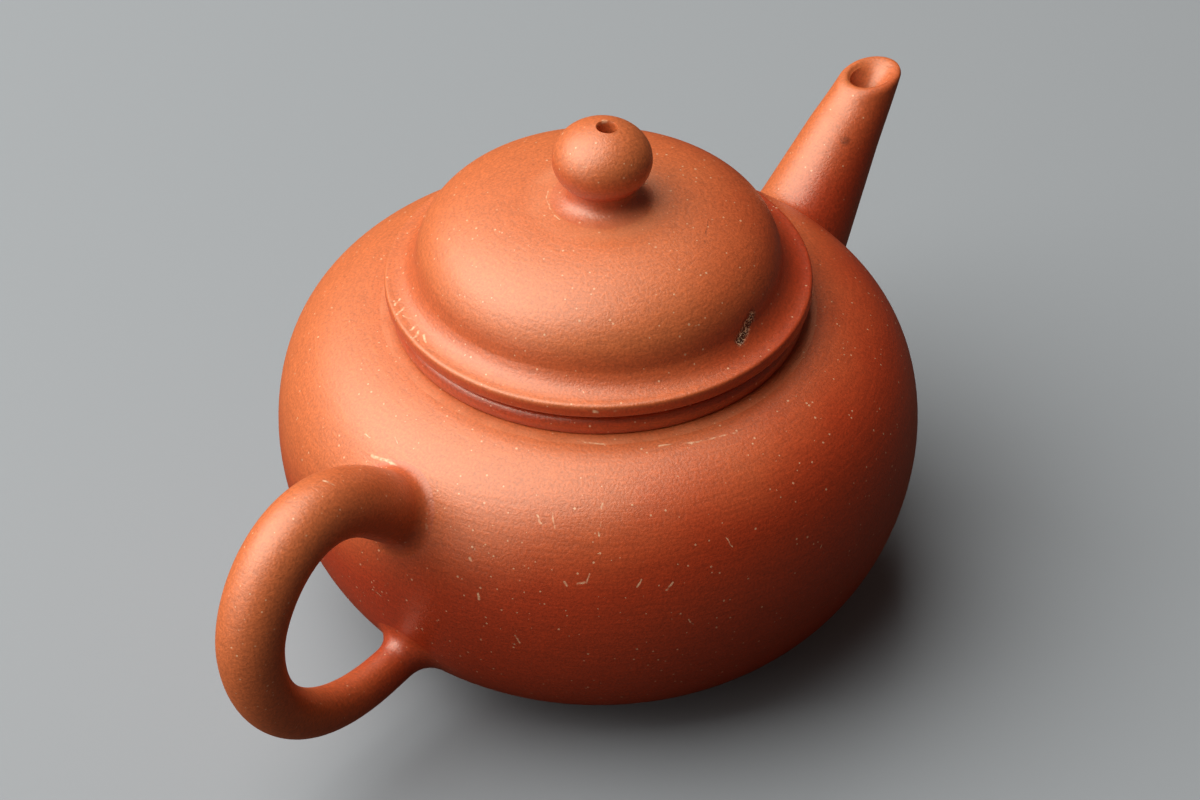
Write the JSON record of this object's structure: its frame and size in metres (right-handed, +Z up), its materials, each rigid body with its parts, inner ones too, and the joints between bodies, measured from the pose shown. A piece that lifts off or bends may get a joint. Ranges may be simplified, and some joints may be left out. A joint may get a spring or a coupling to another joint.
{
  "type": "round teapot with back handle and lift-off lid",
  "caption": "Small round stoneware teapot with a straight spout, a loop handle opposite it and a knobbed lid that lifts off.",
  "frame": {"origin": "on the table, in the middle of the foot disc and on the axis of the round body", "axes": "+Z up along the body's axis, +X towards the spout, -X towards the handle"},
  "size_m": [0.128, 0.08, 0.07],
  "materials": {
    "red_stoneware": "unglazed fine red clay, burnished to a satin sheen"
  },
  "bodies": {
    "pot": {"body_wall": "red_stoneware", "shoulder_disc": "red_stoneware", "base_disc": "red_stoneware", "foot_disc": "red_stoneware", "neck_ring": "red_stoneware", "spout": "red_stoneware", "strainer_dome": "red_stoneware", "handle": "red_stoneware"},
    "lid": {"lid_dome": "red_stoneware", "lid_rim_plate": "red_stoneware", "lid_locating_ring": "red_stoneware", "lid_knob": "red_stoneware"}
  },
  "joints": [
    {"name": "lid_lift", "type": "slide", "parent": "pot", "child": "lid", "axis": [0, 0, 1], "range_m": [0, 0.05]}
  ]
}
